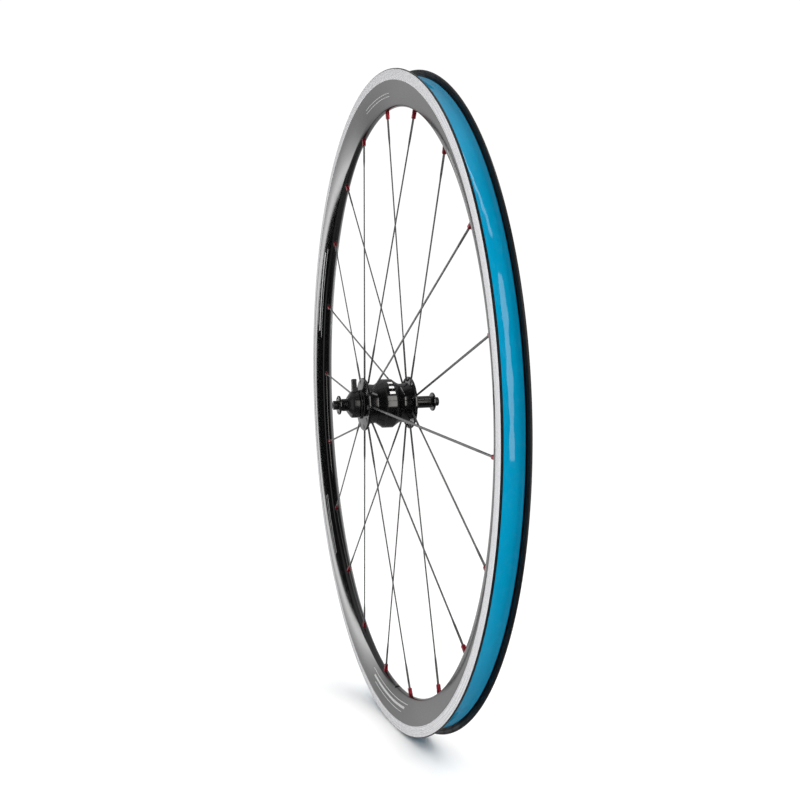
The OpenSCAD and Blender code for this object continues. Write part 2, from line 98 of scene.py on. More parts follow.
# A spoke is drawn along +X: a head, a bend, and a straight run that leans in to the rim's middle.
WIRE_R = 1.0
HOLE_RING_R = 22.5              # the flange's ring of spoke holes
BEND_R = 1.8
SEAT_R = BED_R + 1.4            # end of the run, in the nipple
SPOKE_Y = FLANGE_Y - 1.3        # the run's Y at one bend radius outside the hole ring
LEAN = math.atan(SPOKE_Y / (SEAT_R - HOLE_RING_R - BEND_R))
BEND_X = HOLE_RING_R + BEND_R * (1 - math.sin(LEAN))
BEND_Y = (SEAT_R - BEND_X) * math.tan(LEAN)
RUN_L = (SEAT_R - BEND_X) / math.cos(LEAN)
RUN_START = Vector((BEND_X, BEND_Y, 0))
RUN_WAY = Vector((math.cos(LEAN), -math.sin(LEAN), 0))
RUN_SIDE = Vector((math.sin(LEAN), math.cos(LEAN), 0))
UP = Vector((0, 0, 1))


# ---------------------------------------------------------------- materials

class Tree:
    """Short calls for the nodes used here."""

    def __init__(self, tree):
        self.tree = tree

    def add(self, kind, **values):
        node = self.tree.nodes.new(kind)
        for key, value in values.items():
            setattr(node, key, value)
        return node

    def link(self, source, target):
        self.tree.links.new(source, target)

    def math(self, operation, a, b=0.0):
        node = self.add("ShaderNodeMath", operation=operation)
        for socket, value in zip(node.inputs, (a, b)):
            if isinstance(value, (int, float)):
                socket.default_value = value
            else:
                self.link(value, socket)
        return node.outputs[0]

    def ramp(self, value, low, high, from_min=0.3, from_max=0.7, kind="LINEAR"):
        """low where the value is from_min or less, high where it is from_max or more."""
        node = self.add("ShaderNodeMapRange", interpolation_type=kind)
        node.inputs["From Min"].default_value = from_min
        node.inputs["From Max"].default_value = from_max
        node.inputs["To Min"].default_value = low
        node.inputs["To Max"].default_value = high
        self.link(value, node.inputs["Value"])
        return node.outputs["Result"]


class Nodes(Tree):
    """A material's tree, with its shader and the object's own coordinates."""

    def __init__(self, name):
        self.material = bpy.data.materials.new(name)
        self.material.use_nodes = True
        super().__init__(self.material.node_tree)
        self.shader = self.tree.nodes["Principled BSDF"]
        self.place = self.add("ShaderNodeTexCoord").outputs["Object"]

    def noise(self, scale, detail, rough=0.5, place=None):
        node = self.add("ShaderNodeTexNoise")
        node.inputs["Scale"].default_value = scale
        node.inputs["Detail"].default_value = detail
        node.inputs["Roughness"].default_value = rough
        self.link(self.place if place is None else place, node.inputs["Vector"])
        return node.outputs["Fac"]

    def mix(self, factor, a, b):
        node = self.add("ShaderNodeMix", data_type="RGBA")
        self.link(factor, node.inputs["Factor"])
        for socket, value in ((node.inputs[6], a), (node.inputs[7], b)):
            if isinstance(value, tuple):
                socket.default_value = (*value, 1)
            else:
                self.link(value, socket)
        return node.outputs[2]

    def radius(self):
        """Distance from the wheel's axis, in millimetres."""
        split = self.add("ShaderNodeSeparateXYZ")
        self.link(self.place, split.inputs[0])
        x2 = self.math("MULTIPLY", split.outputs["X"], split.outputs["X"])
        z2 = self.math("MULTIPLY", split.outputs["Z"], split.outputs["Z"])
        r = self.math("SQRT", self.math("ADD", x2, z2))
        return self.math("MULTIPLY", r, 1 / MM)

    def along_axle(self):
        """Distance along the axle, in millimetres."""
        split = self.add("ShaderNodeSeparateXYZ")
        self.link(self.place, split.inputs[0])
        return self.math("MULTIPLY", split.outputs["Y"], 1 / MM)

    def edges(self):
        """About 1 on convex edges, 0 elsewhere."""
        node = self.add("ShaderNodeNewGeometry")
        return self.ramp(node.outputs["Pointiness"], 0.0, 1.0, 0.51, 0.56)

    def bump(self, height, strength, distance=0.0002, below=None):
        node = self.add("ShaderNodeBump")
        node.inputs["Strength"].default_value = strength
        node.inputs["Distance"].default_value = distance
        self.link(height, node.inputs["Height"])
        if below is not None:
            self.link(below, node.inputs["Normal"])
        return node.outputs["Normal"]

    def finish(self, color, rough, normal, **plain):
        """Links what varies, sets plain numbers on the shader itself, returns the material."""
        for key, value in plain.items():
            name = key.replace("_", " ").title().replace("Ior", "IOR")
            self.shader.inputs[name].default_value = value
        self.link(color, self.shader.inputs["Base Color"])
        self.link(rough, self.shader.inputs["Roughness"])
        self.link(normal, self.shader.inputs["Normal"])
        return self.material


def anodised(name, dark, edge, rough, peel=0.05, **plain):
    """Smooth anodised or lacquered metal, a little paler where edges rub."""
    n = Nodes(name)
    cloud = n.noise(60, 4)
    base = n.mix(n.ramp(cloud, 0, 1), dark, tuple(c * 1.5 for c in dark))
    rubbed = n.math("MULTIPLY", n.edges(), n.ramp(n.noise(900, 2), 0.15, 0.6))
    worn = n.mix(rubbed, base, edge)
    smear = n.ramp(n.noise(140, 5, 0.6), rough * 0.8, rough * 1.3)
    relief = n.bump(n.noise(1800, 2), peel)
    return n.finish(worn, smear, relief, **plain)


def turned_metal(name, color, rough, pitch, by_radius, strength=0.2, **plain):
    """Lathe-turned metal with fine rings and faint stains."""
    n = Nodes(name)
    where = n.radius() if by_radius else n.along_axle()
    rings = n.math("SINE", n.math("MULTIPLY", where, TURN / pitch))
    waver = n.noise(500, 3)
    height = n.math("ADD", rings, n.math("MULTIPLY", waver, 1.5))
    tint = n.mix(n.ramp(n.noise(45, 5, 0.65), 0, 1), color, tuple(c * 0.82 for c in color))
    smear = n.ramp(n.noise(220, 4), rough * 0.8, rough * 1.35)
    return n.finish(tint, smear, n.bump(height, strength, 0.00003), **plain)


def moulded(name, color, rough, grain=2500.0, strength=0.25, **plain):
    """Moulded plastic or rubber with a fine spark texture."""
    n = Nodes(name)
    pale = tuple(min(1, c * 1.35 + 0.004) for c in color)
    tint = n.mix(n.ramp(n.noise(90, 4), 0, 1), color, pale)
    smear = n.ramp(n.noise(400, 3), rough * 0.85, rough * 1.2)
    return n.finish(tint, smear, n.bump(n.noise(grain, 3, 0.6), strength, 0.00004), **plain)


def brake_track():
    """Machined alloy: fine concentric grooves, with faint streaks left by pads."""
    n = Nodes("machined_track")
    groove_pitch = 0.34
    r = n.radius()
    wobble = n.math("MULTIPLY", n.noise(30, 2), 0.6)
    grooves = n.math("SINE", n.math("MULTIPLY", n.math("ADD", r, wobble), TURN / groove_pitch))
    streak_at = n.add("ShaderNodeCombineXYZ")
    n.link(n.math("MULTIPLY", r, 0.8), streak_at.inputs[0])
    streaks = n.noise(1.0, 3, place=streak_at.outputs[0])
    shade = n.math("ADD", n.math("MULTIPLY", streaks, 0.7), n.math("MULTIPLY", n.noise(18, 4), 0.3))
    tint = n.mix(n.ramp(shade, 0, 1), (0.62, 0.62, 0.64), (0.57, 0.57, 0.59))
    smear = n.ramp(shade, 0.22, 0.32)
    round_axle = n.add("ShaderNodeTangent", direction_type="RADIAL", axis="Y")
    n.link(round_axle.outputs[0], n.shader.inputs["Tangent"])
    return n.finish(tint, smear, n.bump(grooves, 0.015, 0.00003), metallic=0.6,
                    anisotropic=0.5)


def tape_skin():
    """Glossy polyurethane tape, stretched round the wheel."""
    n = Nodes("blue_tape")
    stretch = n.noise(14, 4, 0.5)
    fine = n.noise(160, 4, 0.6)
    tint = n.mix(n.ramp(stretch, 0, 1), (0.0, 0.21, 0.37), (0.0, 0.24, 0.415))
    dusty = n.mix(n.ramp(fine, 0, 0.04, 0.5, 0.8), tint, (0.2, 0.45, 0.6))
    smear = n.ramp(fine, 0.04, 0.075)
    ripple = n.bump(stretch, 0.08, 0.0004)
    return n.finish(dusty, smear, n.bump(fine, 0.05, 0.0001, ripple), specular_ior_level=0.5)


def printed(name, color):
    """Pad-printed ink, slightly uneven."""
    n = Nodes(name)
    tint = n.mix(n.ramp(n.noise(700, 4), 0, 1), color, tuple(c * 0.85 for c in color))
    smear = n.ramp(n.noise(900, 2), 0.3, 0.5)
    return n.finish(tint, smear, n.bump(n.noise(1600, 2), 0.1, 0.00002))


MATERIALS = {
    "rim_black": anodised("rim_black", (0.002, 0.002, 0.0022), (0.10, 0.10, 0.11), 0.10,
                          peel=0.006, ior=1.77),
    "well_black": anodised("well_black", (0.0025, 0.0025, 0.003), (0.03, 0.03, 0.03), 0.42,
                           peel=0.08, specular_ior_level=0.25),
    "track": brake_track(),
    "tape": tape_skin(),
    "nipple_red": anodised("nipple_red", (0.15, 0.002, 0.008), (0.35, 0.08, 0.09), 0.26,
                           metallic=0.7),
    "spoke_black": anodised("spoke_black", (0.009, 0.009, 0.0095), (0.2, 0.2, 0.2), 0.24,
                            peel=0.1, specular_ior_level=0.6),
    "hub_black": anodised("hub_black", (0.002, 0.002, 0.0022), (0.14, 0.13, 0.12), 0.13,
                          peel=0.008, ior=1.77),
    "gloss_plastic": moulded("gloss_plastic", (0.005, 0.005, 0.0055), 0.20, 1500, 0.08),
    "plug_plastic": moulded("plug_plastic", (0.008, 0.008, 0.0085), 0.42),
    "seal_rubber": moulded("seal_rubber", (0.009, 0.009, 0.009), 0.6, 1800, 0.35),
    "axle_black": turned_metal("axle_black", (0.02, 0.02, 0.022), 0.2, 0.5, False,
                               metallic=0.6),
    "steel": turned_metal("bearing_steel", (0.62, 0.63, 0.65), 0.22, 0.4, False, metallic=1.0),
    "alloy": turned_metal("bare_alloy", (0.70, 0.70, 0.72), 0.34, 0.6, True, metallic=1.0),
    "iron": turned_metal("soft_iron", (0.33, 0.33, 0.35), 0.45, 0.5, True, metallic=1.0),
    "magnet": anodised("magnet", (0.22, 0.22, 0.23), (0.45, 0.45, 0.45), 0.3, metallic=1.0),
    "brass": turned_metal("brass", (0.62, 0.43, 0.16), 0.28, 0.4, False, metallic=1.0),
    "bobbin": moulded("bobbin_plastic", (0.66, 0.63, 0.54), 0.45),
    "lead": moulded("lead_wire", (0.42, 0.03, 0.02), 0.4),
    "copper": turned_metal("copper", (0.62, 0.25, 0.10), 0.25, 0.3, True, 0.6, metallic=1.0),
    "print": printed("plain_print", (0.75, 0.74, 0.73)),
    "dim_print": printed("dim_print", (0.45, 0.45, 0.45)),
}


# ---------------------------------------------------------------- mesh tools

def add_piece(name, verts, faces, material, body, ids=None, others=(), crease=32):
    """A closed mesh given in millimetres, set on its body with its material.

    others are further materials, and ids tells which one each face has. crease is the
    angle in degrees from which an edge is shaded sharp.
    """
    mesh = bpy.data.meshes.new(name)
    mesh.from_pydata([Vector(v) * MM for v in verts], [], faces)
    for key in (material, *others):
        mesh.materials.append(MATERIALS[key])
    if ids is not None:
        mesh.polygons.foreach_set("material_index", ids)
    mesh.polygons.foreach_set("use_smooth", [True] * len(mesh.polygons))
    work = bmesh.new()
    work.from_mesh(mesh)
    bmesh.ops.recalc_face_normals(work, faces=work.faces)
    work.to_mesh(mesh)
    work.free()
    mesh.set_sharp_from_angle(angle=math.radians(crease))
    piece = bpy.data.objects.new(name, mesh)
    bpy.context.scene.collection.objects.link(piece)
    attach(piece, body)
    return piece


def rounded(corners, steps=4):
    """A closed outline from corners (u, v, radius), each softened by its radius."""
    out = []
    count = len(corners)
    for i, (u, v, radius) in enumerate(corners):
        here = Vector((u, v))
        before = Vector(corners[i - 1][:2]) - here
        after = Vector(corners[(i + 1) % count][:2]) - here
        if radius <= 0:
            out.append((u, v))
            continue
        half = before.angle(after) / 2
        cut = min(radius / math.tan(half), 0.45 * before.length, 0.45 * after.length)
        start = here + before.normalized() * cut
        end = here + after.normalized() * cut
        for k in range(steps + 1):
            t = k / steps
            point = start.lerp(here, t).lerp(here.lerp(end, t), t)
            out.append((point.x, point.y))
    return out


def spin(section, steps, start=0.0, shift=None):
    """A closed section of (radius, y) points turned round the axle, from start degrees.

    shift(step, row, radius, y) may move a point, to break the roundness.
    """
    count = len(section)
    verts, faces = [], []
    for i in range(steps):
        a = math.radians(start) + TURN * i / steps
        for k, (r, y) in enumerate(section):
            if shift:
                r, y = shift(i, k, r, y)
            verts.append((r * math.cos(a), y, r * math.sin(a)))
    for i in range(steps):
        j = (i + 1) % steps
        for k in range(count):
            m = (k + 1) % count
            faces.append((i * count + k, j * count + k, j * count + m, i * count + m))
    return verts, faces


def mirrored(half):
    """A whole section from its half, which starts and ends on the middle plane."""
    return half + [(r, -y) for r, y in reversed(half[1:-1])]


def flipped(verts):
    """The same points on the other side of the wheel's middle plane."""
    return [(x, -y, z) for x, y, z in verts]


def window_faces(window, steps, count):
    """The faces inside a window (first step, last step, first row, last row)."""
    i0, i1, k0, k1 = window
    return {(i % steps) * count + k % count for i in range(i0, i1) for k in range(k0, k1)}


def window_loop(window, steps, count):
    """The vertices round a window, in order."""
    i0, i1, k0, k1 = window
    loop = [(i, k0) for i in range(i0, i1)] + [(i1, k) for k in range(k0, k1)]
    loop += [(i, k1) for i in range(i1, i0, -1)] + [(i0, k) for k in range(k1, k0, -1)]
    return [(i % steps) * count + k % count for i, k in loop]


def directions(start, at, steps):
    """Out from the axle and on round it, at one step of a spun section."""
    angle = math.radians(start) + TURN * at / steps
    out = Vector((math.cos(angle), 0, math.sin(angle)))
    across = Vector((-math.sin(angle), 0, math.cos(angle)))
    return out, across


def join_rings(faces, a, b):
    """Quads between two rings of the same length."""
    for n in range(len(a)):
        m = (n + 1) % len(a)
        faces.append((a[n], a[m], b[m], b[n]))


def bridge(verts, faces, a, b):
    """Joins two rings of the same length, in the order that keeps the quads shortest."""
    count = len(a)

    def gap(order):
        return sum((Vector(verts[a[n]]) - Vector(verts[order[n]])).length for n in range(count))

    options = []
    for way in (1, -1):
        run = b[::way]
        options += [run[s:] + run[:s] for s in range(count)]
    join_rings(faces, a, min(options, key=gap))


def sleeve(count, rings):
    """Quads between successive rings of count points, and a cap on each end."""
    faces = []
    for n in range(rings - 1):
        join_rings(faces, range(n * count, (n + 1) * count),
                   range((n + 1) * count, (n + 2) * count))
    faces.append(tuple(range(count)))
    faces.append(tuple(range((rings - 1) * count, rings * count)))
    return faces


def add_ring(verts, points):
    """Adds the points and returns their numbers."""
    start = len(verts)
    verts.extend(points)
    return list(range(start, start + len(points)))


def hole_mouth(verts, faces, loop, flat, lift, radius, rings=(0.35, 0.7)):
    """Fills between a window and a round hole at its middle, with rings on the way.

    flat(vertex) gives a point's place in the hole's own plane and lift(place) puts one
    back. Returns the hole's ring and its places.
    """
    places = [Vector(flat(verts[v])) for v in loop]
    rim_places = [p.normalized() * radius for p in places]
    last = loop
    for t in (*rings, 1.0):
        ring = add_ring(verts, [lift(p.lerp(q, t)) for p, q in zip(places, rim_places)])
        join_rings(faces, last, ring)
        last = ring
    return last, rim_places


def tube(stations, sides):
    """A capped sweep. Each station is (centre, u, v, outline), outline(angle) -> (a, b)."""
    verts = []
    for centre, u, v, outline in stations:
        for s in range(sides):
            a, b = outline(TURN * s / sides)
            verts.append(centre + u * a + v * b)
    return verts, sleeve(sides, len(stations))


def circle(radius):
    """An outline for tube()."""
    return lambda t: (radius * math.cos(t), radius * math.sin(t))


def lens(half_u, half_v, power):
    """A superellipse: power 2 is an ellipse, more is flatter with rounder ends."""
    def outline(t):
        c, s = math.cos(t), math.sin(t)
        return (half_u * math.copysign(abs(c) ** (2 / power), c),
                half_v * math.copysign(abs(s) ** (2 / power), s))
    return outline


def turn_to(angle, side):
    """Places a point of a spoke drawn along +X in the +Y half."""
    a = math.radians(angle)

    def place(p):
        x, y, z = p
        y = y if side == "right" else -y
        return (x * math.cos(a) - z * math.sin(a), y, x * math.sin(a) + z * math.cos(a))

    return place


def merge(parts):
    """Several (verts, faces) as one."""
    verts, faces = [], []
    for v, f in parts:
        base = len(verts)
        verts += list(v)
        faces += [tuple(base + n for n in face) for face in f]
    return verts, faces


# ---------------------------------------------------------------- rim and tape

def arc(r, y, radius, start, end, steps):
    """Points of an arc in the (radius, y) plane, from one angle to another."""
    turns = [start + (end - start) * k / steps for k in range(steps + 1)]
    return [(r + radius * math.cos(t), y + radius * math.sin(t)) for t in turns]


def bow():
    """The side's shallow arc: its centre and the angles where it starts and ends."""
    rise = LOW_R - BED_R - BED_ROUND
    reach = math.hypot(rise, FOOT_Y)
    gap = BOW_R - BED_ROUND
    turn = math.acos((reach ** 2 + BED_ROUND ** 2 - 2 * BOW_R * BED_ROUND) / (2 * gap * reach))
    start = math.pi + math.atan2(FOOT_Y, rise) - turn
    middle = Vector((BED_R + BED_ROUND, 0)) - gap * Vector((math.cos(start), math.sin(start)))
    return middle, start, math.atan2(FOOT_Y - middle.y, LOW_R - middle.x)


def rim_half():
    """The rim's half outline in four runs: black side, crown, hook nose and tyre well."""
    middle, start, end = bow()
    bed = arc(BED_R + BED_ROUND, 0, BED_ROUND, math.pi, start, 12)
    side = arc(middle.x, middle.y, BOW_R, start, end, 10)[1:-1]
    side += rounded([(*side[-1], 0), (LOW_R, FOOT_Y, 0.4), (LOW_R + 0.3, TRACK_Y, 0)], 3)[1:]
    crown = arc(RIM_R - 0.9, TRACK_Y - 0.9, 0.9, math.pi / 2, 0, 8)
    nose = arc(RIM_R - 1.3, TRACK_Y - 1.6, 0.7, math.radians(20), math.radians(-135), 7)
    well = rounded([(RIM_R - 2.8, TRACK_Y - 1.7, 0.5), (WELL_R + 3.7, TRACK_Y - 1.7, 0.4),
                    (WELL_R + 3.4, TRACK_Y - 2.5, 0.4), (WELL_R + 2.7, 8.0, 0.6),
                    (WELL_R + 0.8, 5.6, 1.0), (WELL_R, 3.2, 0.8), (WELL_R, 0, 0)], 2)
    return bed + side, crown, nose, well[:-1]


def rim():
    """The rim with its brake tracks, its well, and its spoke and valve holes."""
    side, crown, nose, well = rim_half()
    section = mirrored(side + crown + nose + well + [(WELL_R, 0)])
    count = len(section)
    verts, faces = spin(section, RIM_STEPS, FIRST_SPOKE)

    # One look for each row of faces: 0 is black, 1 the brake track, 2 the well.
    row_look = [0] * count
    row_look[len(side) - 1] = row_look[count - len(side)] = 1
    hidden = len(side) + len(crown)
    row_look[hidden:count - hidden] = [2] * (count - 2 * hidden)

    # Each hole is (step, half width of its window in steps, half height in rows, radius).
    holes = [(n * RIM_STEPS // len(SPOKES), 2, 7, 2.3) for n in range(len(SPOKES))]
    holes.append((VALVE_AT, 3, 9, 3.25))
    windows = [(at - wide, at + wide, -tall, tall) for at, wide, tall, _ in holes]
    gone = set().union(*(window_faces(window, RIM_STEPS, count) for window in windows))
    kept = [n for n in range(len(faces)) if n not in gone]
    faces = [faces[n] for n in kept]
    ids = [row_look[n % count] for n in kept]

    wall_top = BED_R + 4.5
    for (at, _, _, radius), window in zip(holes, windows):
        out, across = directions(FIRST_SPOKE, at, RIM_STEPS)

        def flat(v):
            return (Vector(v).dot(across), v[1])

        def lift(p):
            r = BED_R + BED_ROUND - math.sqrt(BED_ROUND ** 2 - p.y ** 2)
            return out * math.sqrt(r ** 2 - p.x ** 2) + across * p.x + Vector((0, p.y, 0))

        loop = window_loop(window, RIM_STEPS, count)
        ring, mouth = hole_mouth(verts, faces, loop, flat, lift, radius)
        deep = add_ring(verts, [out * wall_top + across * p.x + Vector((0, p.y, 0))
                                for p in mouth])
        join_rings(faces, ring, deep)
        faces.append(tuple(deep))
    ids += [0] * (len(faces) - len(ids))
    piece = add_piece("rim_shell", verts, faces, "rim_black", "wheel", ids,
                      ("track", "well_black"))
    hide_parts("rim")


def stripe(centre, mirror, low, high, half_a):
    """A stripe on one side of the rim, from radius low to high, half_a degrees each way."""
    middle = bow()[0]
    sunk, proud, steps = -0.03, 0.04, 30
    verts = []
    for i in range(steps + 1):
        a = math.radians(centre - half_a + 2 * half_a * i / steps)
        for r, lift in ((low, sunk), (low, proud), (high, proud), (high, sunk)):
            y = middle.y + math.sqrt(BOW_R ** 2 - (r - middle.x) ** 2) + lift
            verts.append((r * math.cos(a), mirror * y, r * math.sin(a)))
    return verts, sleeve(4, steps + 1)


def side_stripes():
    """Plain thin stripes printed on both sides of the rim: three long sets, three short."""
    long_set = ((290.8, 291.4, 12), (293.9, 295.9, 10.5), (298.7, 299.3, 9))
    short_set = ((293.6, 294.1, 8), (296.3, 296.8, 8))
    places = [(centre, long_set) for centre in (266, 147, 27)]
    places += [(centre, short_set) for centre in (208, 80, 328)]
    parts = []
    for centre, stripes in places:
        for mirror in (-1, 1):
            parts += [stripe(centre, mirror, *size) for size in stripes]
    verts, faces = merge(parts)
    add_piece("side_stripes", verts, faces, "dim_print", "wheel")


def dish(y):
    """Radius of the tape's face, hollow across the well and steeper near its edges."""
    return RIM_R - 8.68 + y * y / 44 + 0.155 * max(y - 5, 0) ** 2


def tape():
    """A band pressed into the well, with a lapped end beside the valve hole."""
    under = WELL_R + 0.03
    edge = (WELL_R + 3.15, TRACK_Y - 2.9)
    top = [(dish(y), y) for y in (0, 1.6, 3.1, 4.3, 5.1, 5.9, 6.7, 7.4)]
    top += [(WELL_R + 3.45, 7.95), (WELL_R + 3.68, 8.2), (WELL_R + 3.76, 8.45),
            (WELL_R + 3.74, 8.7), (WELL_R + 3.55, edge[1]), (edge[0] + 0.2, edge[1] + 0.08)]
    low = [(under, 0), (under, 1.6), (under, 3.2), (WELL_R + 0.42, 4.4), (WELL_R + 0.83, 5.6),
           (WELL_R + 1.78, 6.8), (WELL_R + 2.73, 8.0), edge]
    half = low + list(reversed(top))
    section = mirrored(half)
    count = len(section)
    lap_at = RIM_STEPS * (VALVE_ANGLE + 7 - FIRST_SPOKE) / 360
    lap_steps, lap_rise = 22, 0.14

    def shift(i, k, r, y):
        """Slight waves in the face, and the step where the band's end laps over."""
        if len(low) <= k < count - len(low) + 1:
            a = TURN * i / RIM_STEPS
            r += 0.03 * math.sin(37 * a + y) + 0.025 * math.sin(91 * a - 0.7 * y)
            lap = (i - lap_at) % RIM_STEPS
            if lap < lap_steps:
                r += lap_rise * min(1, lap, lap_steps - lap)
        return r, y

    verts, faces = spin(section, RIM_STEPS, FIRST_SPOKE, shift)
    out, across = directions(FIRST_SPOKE, VALVE_AT, RIM_STEPS)
    windows = [(VALVE_AT - 2, VALVE_AT + 2, row - 3, row + 3) for row in (len(half) - 1, 0)]
    gone = set().union(*(window_faces(window, RIM_STEPS, count) for window in windows))
    faces = [f for n, f in enumerate(faces) if n not in gone]
    rings = []
    for window, level in zip(windows, (dish, lambda y: under)):
        ring, _ = hole_mouth(
            verts, faces, window_loop(window, RIM_STEPS, count),
            lambda v: (Vector(v).dot(across), v[1]),
            lambda p: (out * math.sqrt(level(p.y) ** 2 - p.x ** 2) + across * p.x
                       + Vector((0, p.y, 0))),
            3.6, (0.5,))
        rings.append(ring)
    bridge(verts, faces, *rings)
    piece = add_piece("rim_tape_band", verts, faces, "tape", "wheel", crease=50)
    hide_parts("rim_tape")


# ---------------------------------------------------------------- spokes and nipples

def spoke_side(name):
    """The flange that a spoke comes from."""
    low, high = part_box(name)
    return "right" if high.y > -low.y else "left"


def spoke_stations():
    """Head, bend, round butt, blade and threaded end of a spoke drawn along +X."""
    # (height above the flange, radius), from the head's top down into the hole
    head = ((1.0, 0.55), (0.97, 0.95), (0.86, 1.45), (0.66, 1.82), (0.45, 1.99), (0.2, 2.0),
            (0.04, 1.9), (0.0, 1.7), (-0.02, 1.1), (-0.3, WIRE_R))
    stations = []
    for y, r in head:
        place = Vector((HOLE_RING_R, FLANGE_OUT_Y + y, 0))
        stations.append((place, Vector((1, 0, 0)), UP, circle(r)))
    centre = Vector((HOLE_RING_R + BEND_R, BEND_Y + BEND_R * math.cos(LEAN), 0))
    bend_steps = 8
    for k in range(bend_steps + 1):
        t = math.radians(180) + (math.radians(90) - LEAN) * k / bend_steps
        out = Vector((math.cos(t), math.sin(t), 0))
        stations.append((centre + out * BEND_R, -out, UP, circle(WIRE_R)))

    # (distance along the run, flatness), where 1 is the full blade
    blade_to = RUN_L - 26
    run = [(6, 0), (20, 0), (34, 0), (35.5, 0.12), (37.5, 0.4), (39.5, 0.72), (41, 0.93), (42, 1)]
    run += [(42 + (blade_to - 50) * k / 6, 1) for k in range(1, 7)]
    run += [(blade_to - 7, 0.93), (blade_to - 5.5, 0.72), (blade_to - 3.5, 0.4),
            (blade_to - 1.5, 0.12), (blade_to, 0), (RUN_L - 10, 0), (RUN_L, 0)]
    blade_thin, blade_wide = 0.6, 1.1
    for s, flatness in run:
        thick = WIRE_R + (blade_thin - WIRE_R) * flatness
        wide = WIRE_R + (blade_wide - WIRE_R) * flatness
        outline = lens(thick, wide, 2 + 0.9 * flatness)
        stations.append((RUN_START + RUN_WAY * s, RUN_SIDE, UP, outline))
    return stations


def spokes():
    """One blackened steel spoke for each CAD spoke."""
    verts, faces = tube(spoke_stations(), 16)
    for n, name in enumerate(SPOKES):
        place = turn_to(FIRST_SPOKE + n * SPOKE_STEP, spoke_side(name))
        piece = add_piece(name.replace("_", "_steel_"), [place(v) for v in verts], faces,
                          "spoke_black", "wheel", crease=60)
        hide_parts(name)


def nipple_shape():
    """A hollow-ended nipple: bevelled tip, four wrench flats, round body and head."""
    def flats(radius, half):
        def outline(t):
            r = min(radius, half / max(abs(math.cos(t)), abs(math.sin(t))))
            return r * math.cos(t), r * math.sin(t)
        return outline

    head = RUN_L + 2.3
    tip = head - 11
    plan = [(tip + 1.2, circle(1.02)), (tip + 0.25, circle(1.08)), (tip, circle(1.3)),
            (tip, flats(1.72, 1.6)), (tip + 0.12, flats(1.86, 1.7)),
            (tip + 0.35, flats(2.0, 1.72)), (tip + 2.5, flats(2.0, 1.72)),
            (tip + 4.5, flats(2.0, 1.72)), (tip + 4.75, flats(2.0, 1.78)),
            (tip + 4.95, circle(2.0)), (tip + 7.5, circle(2.0)), (head, circle(2.0)),
            (head + 0.7, circle(3.0)), (head + 1.6, circle(2.8)), (head + 2.2, circle(2.4)),
            (head + 2.4, circle(1.6))]
    return tube([(RUN_START + RUN_WAY * s, RUN_SIDE, UP, outline) for s, outline in plan], 32)


def nipples():
    """The nipples of each flange's spokes, as one piece a flange."""
    shape_verts, shape_faces = nipple_shape()
    for side in ("left", "right"):
        parts = []
        for n, name in enumerate(SPOKES):
            if spoke_side(name) == side:
                place = turn_to(FIRST_SPOKE + n * SPOKE_STEP, side)
                parts.append(([place(v) for v in shape_verts], shape_faces))
        verts, faces = merge(parts)
        piece = add_piece(side + "_alloy_nipples", verts, faces, "nipple_red", "wheel",
                          crease=24)
        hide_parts(side + "_nipples")


# ---------------------------------------------------------------- hub

def flange_corners():
    """Outline of a flange and its boss, from the inner face round to the bore."""
    f, y = FLANGE_R, FLANGE_Y
    return [(f - 0.5, y + 0.6, 0.3), (f, y + 1.1, 0.25), (f, y + 2.5, 0.25), (f - 0.5, y + 3, 0.3),
            (15.1, y + 4.4, 0.5), (14.5, y + 5, 0.5), (14.5, y + 6.7, 0.2), (14.0, y + 7.2, 0.2),
            (12, y + 7.2, 0.1), (12, y - 0.4, 0), (11, y - 0.4, 0), (11, y - 2.5, 0),
            (NECK_R, y - 2.5, 0)]


def hub_section(node):
    """Outline of one end of the hub, drawn on the +Y side. The shell has the barrel too."""
    neck_round = 8 if node == "hub_shell" else 4
    neck = [(19.2, NECK_Y, neck_round), (20.3, FLANGE_Y - 0.6, 0.5)]
    tail = [(NECK_R, NECK_Y, 0), (22.0, 6.5, 0)]
    if node == "hub_shell":
        head = [(23.2, -5.2, 0), (BARREL_R - 0.25, -5.2, 0.1), (BARREL_R, -4.95, 0.15),
                (BARREL_R, 4.6, 0.8)]
        tail += [(22.0, -2.2, 0), (23.2, -2.2, 0)]
    else:
        head = [(22.0, 2.2, 0), (23.2, 2.2, 0), (23.2, 5.2, 0), (24.1, 5.2, 0.15)]
    return head + neck + flange_corners() + tail


# On each face of a flange: the lowest and highest radius of the rows that holes open in,
# and the radius of the hole, which is wider outside for the spoke's head.
FACE_ROWS = {"inner": (20.9, 24.1), "outer": (19.75, 25.3)}
HOLE_R = {"inner": 1.25, "outer": 2.35}
ROW_SPLITS = 6


def split_faces(section):
    """Adds rows to the flange's two faces. Returns the section and each face's first row."""
    out, starts = [], {}
    for k, a in enumerate(section):
        b = section[(k + 1) % len(section)]
        out.append(a)
        face = "inner" if (a[1] + b[1]) / 2 < FLANGE_Y + 1 else "outer"
        near, far = FACE_ROWS[face]
        low, high = min(a[0], b[0]), max(a[0], b[0])
        upright = abs(a[1] - b[1]) < 2.0 and high - low > 5
        if upright and low < near < far < high:
            first, last = (near, far) if a[0] < b[0] else (far, near)
            starts[face] = len(out)
            for m in range(ROW_SPLITS + 1):
                r = first + (last - first) * m / ROW_SPLITS
                t = (r - a[0]) / (b[0] - a[0])
                out.append((r, a[1] + (b[1] - a[1]) * t))
    return out, starts


